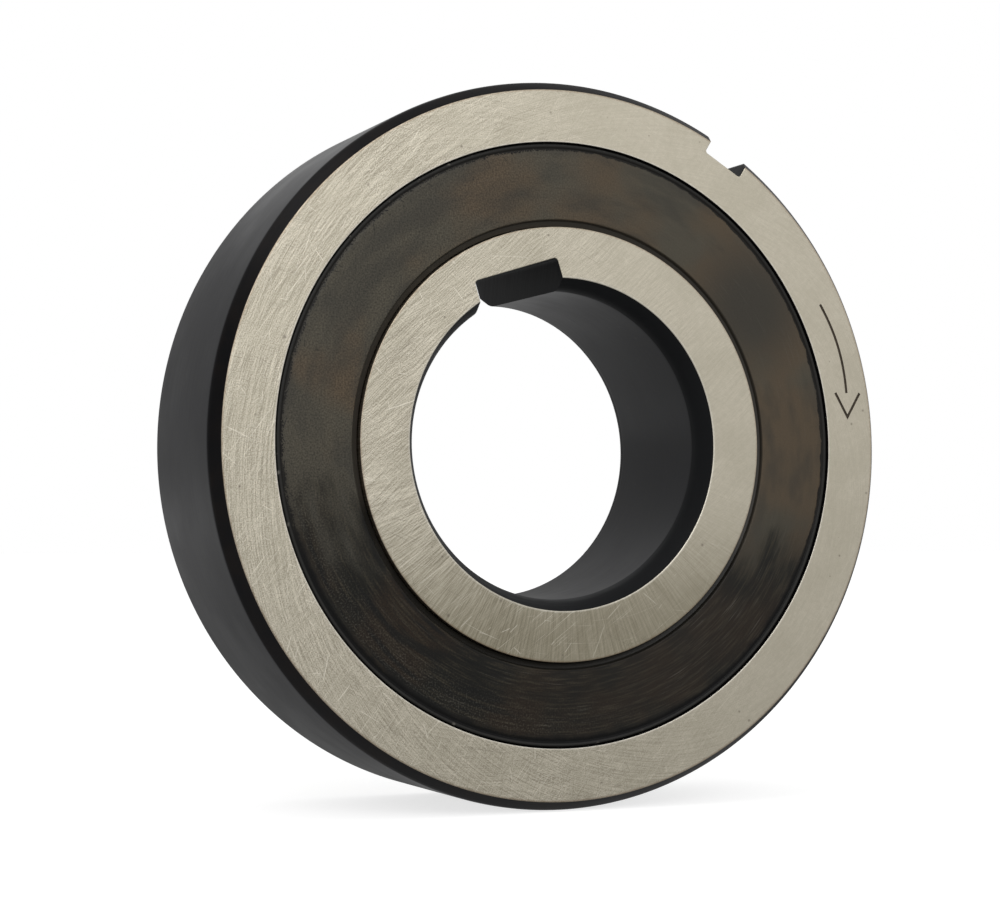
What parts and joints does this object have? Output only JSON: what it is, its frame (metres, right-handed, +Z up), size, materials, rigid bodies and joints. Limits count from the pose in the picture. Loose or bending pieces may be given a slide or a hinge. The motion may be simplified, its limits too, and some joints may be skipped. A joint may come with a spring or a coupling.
{
  "type": "sprag clutch",
  "caption": "Sealed one-way sprag clutch with a built-in ball bearing, a keyway in its bore and a keyseat across its outside.",
  "frame": {"origin": "middle of the bore, on the axis and halfway across the width", "axes": "+Y along the clutch's axis from the marked front face to the rear face; +Z up with the ring on its edge, the inner keyway 17.4 degrees to the left of the top and the outer keyseat 31.4 degrees to the right of it, seen from the front; +X to the right"},
  "size_m": [0.047, 0.014, 0.047],
  "materials": {
    "ground_and_black_steel": "ground bright on the faces, satin black oxide on the bore, outside diameter, chamfers and key walls",
    "seal_rubber": "matte",
    "seal_steel": "phosphated sheet",
    "ball_steel": "polished",
    "cage_nylon": "natural nylon",
    "sprag_steel": "tumbled and polished",
    "cage_steel": "drawn sheet",
    "spring_steel": "tempered strip"
  },
  "bodies": {
    "outer_ring": {"outer_ring": "ground_and_black_steel", "front_seal_rubber": "seal_rubber", "front_seal_core": "seal_steel", "rear_seal_rubber": "seal_rubber", "rear_seal_core": "seal_steel", "sprag_outer_cage": "cage_steel", "sprag_inner_cage": "cage_steel", "sprag_spring": "spring_steel"},
    "inner_ring": {"inner_ring": "ground_and_black_steel"},
    "ball_cage": {"ball_cage": "cage_nylon"},
    "ball_01": {"ball_01": "ball_steel"},
    "ball_02": {"ball_02": "ball_steel"},
    "ball_03": {"ball_03": "ball_steel"},
    "ball_04": {"ball_04": "ball_steel"},
    "ball_05": {"ball_05": "ball_steel"},
    "ball_06": {"ball_06": "ball_steel"},
    "ball_07": {"ball_07": "ball_steel"},
    "ball_08": {"ball_08": "ball_steel"},
    "ball_09": {"ball_09": "ball_steel"},
    "ball_10": {"ball_10": "ball_steel"},
    "sprag_01": {"sprag_01": "sprag_steel"},
    "sprag_02": {"sprag_02": "sprag_steel"},
    "sprag_03": {"sprag_03": "sprag_steel"},
    "sprag_04": {"sprag_04": "sprag_steel"},
    "sprag_05": {"sprag_05": "sprag_steel"},
    "sprag_06": {"sprag_06": "sprag_steel"},
    "sprag_07": {"sprag_07": "sprag_steel"},
    "sprag_08": {"sprag_08": "sprag_steel"},
    "sprag_09": {"sprag_09": "sprag_steel"},
    "sprag_10": {"sprag_10": "sprag_steel"},
    "sprag_11": {"sprag_11": "sprag_steel"},
    "sprag_12": {"sprag_12": "sprag_steel"},
    "sprag_13": {"sprag_13": "sprag_steel"},
    "sprag_14": {"sprag_14": "sprag_steel"},
    "sprag_15": {"sprag_15": "sprag_steel"},
    "sprag_16": {"sprag_16": "sprag_steel"}
  },
  "joints": [
    {"name": "inner_ring_freewheel", "type": "hinge", "parent": "outer_ring", "child": "inner_ring", "pos_m": [0, 0, 0], "axis": [0, -1, 0], "range_deg": [0, 3690]},
    {"name": "ball_cage_orbit", "type": "hinge", "parent": "outer_ring", "child": "ball_cage", "pos_m": [0, 0, 0], "axis": [0, -1, 0], "range_deg": [0, 1521.4]},
    {"name": "ball_01_spin", "type": "hinge", "parent": "ball_cage", "child": "ball_01", "pos_m": [0, 0.00208, 0.01584], "axis": [0, -1, 0], "range_deg": [-10195.2, 0]},
    {"name": "ball_02_spin", "type": "hinge", "parent": "ball_cage", "child": "ball_02", "pos_m": [0.00931, 0.00208, 0.01281], "axis": [0, -1, 0], "range_deg": [-10195.2, 0]},
    {"name": "ball_03_spin", "type": "hinge", "parent": "ball_cage", "child": "ball_03", "pos_m": [0.01506, 0.00208, 0.00489], "axis": [0, -1, 0], "range_deg": [-10195.2, 0]},
    {"name": "ball_04_spin", "type": "hinge", "parent": "ball_cage", "child": "ball_04", "pos_m": [0.01506, 0.00208, -0.00489], "axis": [0, -1, 0], "range_deg": [-10195.2, 0]},
    {"name": "ball_05_spin", "type": "hinge", "parent": "ball_cage", "child": "ball_05", "pos_m": [0.00931, 0.00208, -0.01281], "axis": [0, -1, 0], "range_deg": [-10195.2, 0]},
    {"name": "ball_06_spin", "type": "hinge", "parent": "ball_cage", "child": "ball_06", "pos_m": [0, 0.00208, -0.01584], "axis": [0, -1, 0], "range_deg": [-10195.2, 0]},
    {"name": "ball_07_spin", "type": "hinge", "parent": "ball_cage", "child": "ball_07", "pos_m": [-0.00931, 0.00208, -0.01281], "axis": [0, -1, 0], "range_deg": [-10195.2, 0]},
    {"name": "ball_08_spin", "type": "hinge", "parent": "ball_cage", "child": "ball_08", "pos_m": [-0.01506, 0.00208, -0.00489], "axis": [0, -1, 0], "range_deg": [-10195.2, 0]},
    {"name": "ball_09_spin", "type": "hinge", "parent": "ball_cage", "child": "ball_09", "pos_m": [-0.01506, 0.00208, 0.00489], "axis": [0, -1, 0], "range_deg": [-10195.2, 0]},
    {"name": "ball_10_spin", "type": "hinge", "parent": "ball_cage", "child": "ball_10", "pos_m": [-0.00931, 0.00208, 0.01281], "axis": [0, -1, 0], "range_deg": [-10195.2, 0]},
    {"name": "sprag_01_rock", "type": "hinge", "parent": "outer_ring", "child": "sprag_01", "pos_m": [0.00321, -0.00334, 0.01613], "axis": [0, 1, 0], "range_deg": [0, 8], "stiffness_Nm_per_rad": 0.0001, "springref_deg": -5.73},
    {"name": "sprag_02_rock", "type": "hinge", "parent": "outer_ring", "child": "sprag_02", "pos_m": [0.00914, -0.00334, 0.01368], "axis": [0, 1, 0], "range_deg": [0, 8], "stiffness_Nm_per_rad": 0.0001, "springref_deg": -5.73},
    {"name": "sprag_03_rock", "type": "hinge", "parent": "outer_ring", "child": "sprag_03", "pos_m": [0.01368, -0.00334, 0.00914], "axis": [0, 1, 0], "range_deg": [0, 8], "stiffness_Nm_per_rad": 0.0001, "springref_deg": -5.73},
    {"name": "sprag_04_rock", "type": "hinge", "parent": "outer_ring", "child": "sprag_04", "pos_m": [0.01613, -0.00334, 0.00321], "axis": [0, 1, 0], "range_deg": [0, 8], "stiffness_Nm_per_rad": 0.0001, "springref_deg": -5.73},
    {"name": "sprag_05_rock", "type": "hinge", "parent": "outer_ring", "child": "sprag_05", "pos_m": [0.01613, -0.00334, -0.00321], "axis": [0, 1, 0], "range_deg": [0, 8], "stiffness_Nm_per_rad": 0.0001, "springref_deg": -5.73},
    {"name": "sprag_06_rock", "type": "hinge", "parent": "outer_ring", "child": "sprag_06", "pos_m": [0.01368, -0.00334, -0.00914], "axis": [0, 1, 0], "range_deg": [0, 8], "stiffness_Nm_per_rad": 0.0001, "springref_deg": -5.73},
    {"name": "sprag_07_rock", "type": "hinge", "parent": "outer_ring", "child": "sprag_07", "pos_m": [0.00914, -0.00334, -0.01368], "axis": [0, 1, 0], "range_deg": [0, 8], "stiffness_Nm_per_rad": 0.0001, "springref_deg": -5.73},
    {"name": "sprag_08_rock", "type": "hinge", "parent": "outer_ring", "child": "sprag_08", "pos_m": [0.00321, -0.00334, -0.01613], "axis": [0, 1, 0], "range_deg": [0, 8], "stiffness_Nm_per_rad": 0.0001, "springref_deg": -5.73},
    {"name": "sprag_09_rock", "type": "hinge", "parent": "outer_ring", "child": "sprag_09", "pos_m": [-0.00321, -0.00334, -0.01613], "axis": [0, 1, 0], "range_deg": [0, 8], "stiffness_Nm_per_rad": 0.0001, "springref_deg": -5.73},
    {"name": "sprag_10_rock", "type": "hinge", "parent": "outer_ring", "child": "sprag_10", "pos_m": [-0.00914, -0.00334, -0.01368], "axis": [0, 1, 0], "range_deg": [0, 8], "stiffness_Nm_per_rad": 0.0001, "springref_deg": -5.73},
    {"name": "sprag_11_rock", "type": "hinge", "parent": "outer_ring", "child": "sprag_11", "pos_m": [-0.01368, -0.00334, -0.00914], "axis": [0, 1, 0], "range_deg": [0, 8], "stiffness_Nm_per_rad": 0.0001, "springref_deg": -5.73},
    {"name": "sprag_12_rock", "type": "hinge", "parent": "outer_ring", "child": "sprag_12", "pos_m": [-0.01613, -0.00334, -0.00321], "axis": [0, 1, 0], "range_deg": [0, 8], "stiffness_Nm_per_rad": 0.0001, "springref_deg": -5.73},
    {"name": "sprag_13_rock", "type": "hinge", "parent": "outer_ring", "child": "sprag_13", "pos_m": [-0.01613, -0.00334, 0.00321], "axis": [0, 1, 0], "range_deg": [0, 8], "stiffness_Nm_per_rad": 0.0001, "springref_deg": -5.73},
    {"name": "sprag_14_rock", "type": "hinge", "parent": "outer_ring", "child": "sprag_14", "pos_m": [-0.01368, -0.00334, 0.00914], "axis": [0, 1, 0], "range_deg": [0, 8], "stiffness_Nm_per_rad": 0.0001, "springref_deg": -5.73},
    {"name": "sprag_15_rock", "type": "hinge", "parent": "outer_ring", "child": "sprag_15", "pos_m": [-0.00914, -0.00334, 0.01368], "axis": [0, 1, 0], "range_deg": [0, 8], "stiffness_Nm_per_rad": 0.0001, "springref_deg": -5.73},
    {"name": "sprag_16_rock", "type": "hinge", "parent": "outer_ring", "child": "sprag_16", "pos_m": [-0.00321, -0.00334, 0.01613], "axis": [0, 1, 0], "range_deg": [0, 8], "stiffness_Nm_per_rad": 0.0001, "springref_deg": -5.73}
  ],
  "couplings": [
    {"joint": "ball_cage_orbit", "follows": "inner_ring_freewheel", "ratio": 0.4123},
    {"joint": "ball_01_spin", "follows": "inner_ring_freewheel", "ratio": -2.7629},
    {"joint": "ball_02_spin", "follows": "inner_ring_freewheel", "ratio": -2.7629},
    {"joint": "ball_03_spin", "follows": "inner_ring_freewheel", "ratio": -2.7629},
    {"joint": "ball_04_spin", "follows": "inner_ring_freewheel", "ratio": -2.7629},
    {"joint": "ball_05_spin", "follows": "inner_ring_freewheel", "ratio": -2.7629},
    {"joint": "ball_06_spin", "follows": "inner_ring_freewheel", "ratio": -2.7629},
    {"joint": "ball_07_spin", "follows": "inner_ring_freewheel", "ratio": -2.7629},
    {"joint": "ball_08_spin", "follows": "inner_ring_freewheel", "ratio": -2.7629},
    {"joint": "ball_09_spin", "follows": "inner_ring_freewheel", "ratio": -2.7629},
    {"joint": "ball_10_spin", "follows": "inner_ring_freewheel", "ratio": -2.7629},
    {"joint": "sprag_02_rock", "follows": "sprag_01_rock", "ratio": 1},
    {"joint": "sprag_03_rock", "follows": "sprag_01_rock", "ratio": 1},
    {"joint": "sprag_04_rock", "follows": "sprag_01_rock", "ratio": 1},
    {"joint": "sprag_05_rock", "follows": "sprag_01_rock", "ratio": 1},
    {"joint": "sprag_06_rock", "follows": "sprag_01_rock", "ratio": 1},
    {"joint": "sprag_07_rock", "follows": "sprag_01_rock", "ratio": 1},
    {"joint": "sprag_08_rock", "follows": "sprag_01_rock", "ratio": 1},
    {"joint": "sprag_09_rock", "follows": "sprag_01_rock", "ratio": 1},
    {"joint": "sprag_10_rock", "follows": "sprag_01_rock", "ratio": 1},
    {"joint": "sprag_11_rock", "follows": "sprag_01_rock", "ratio": 1},
    {"joint": "sprag_12_rock", "follows": "sprag_01_rock", "ratio": 1},
    {"joint": "sprag_13_rock", "follows": "sprag_01_rock", "ratio": 1},
    {"joint": "sprag_14_rock", "follows": "sprag_01_rock", "ratio": 1},
    {"joint": "sprag_15_rock", "follows": "sprag_01_rock", "ratio": 1},
    {"joint": "sprag_16_rock", "follows": "sprag_01_rock", "ratio": 1}
  ]
}
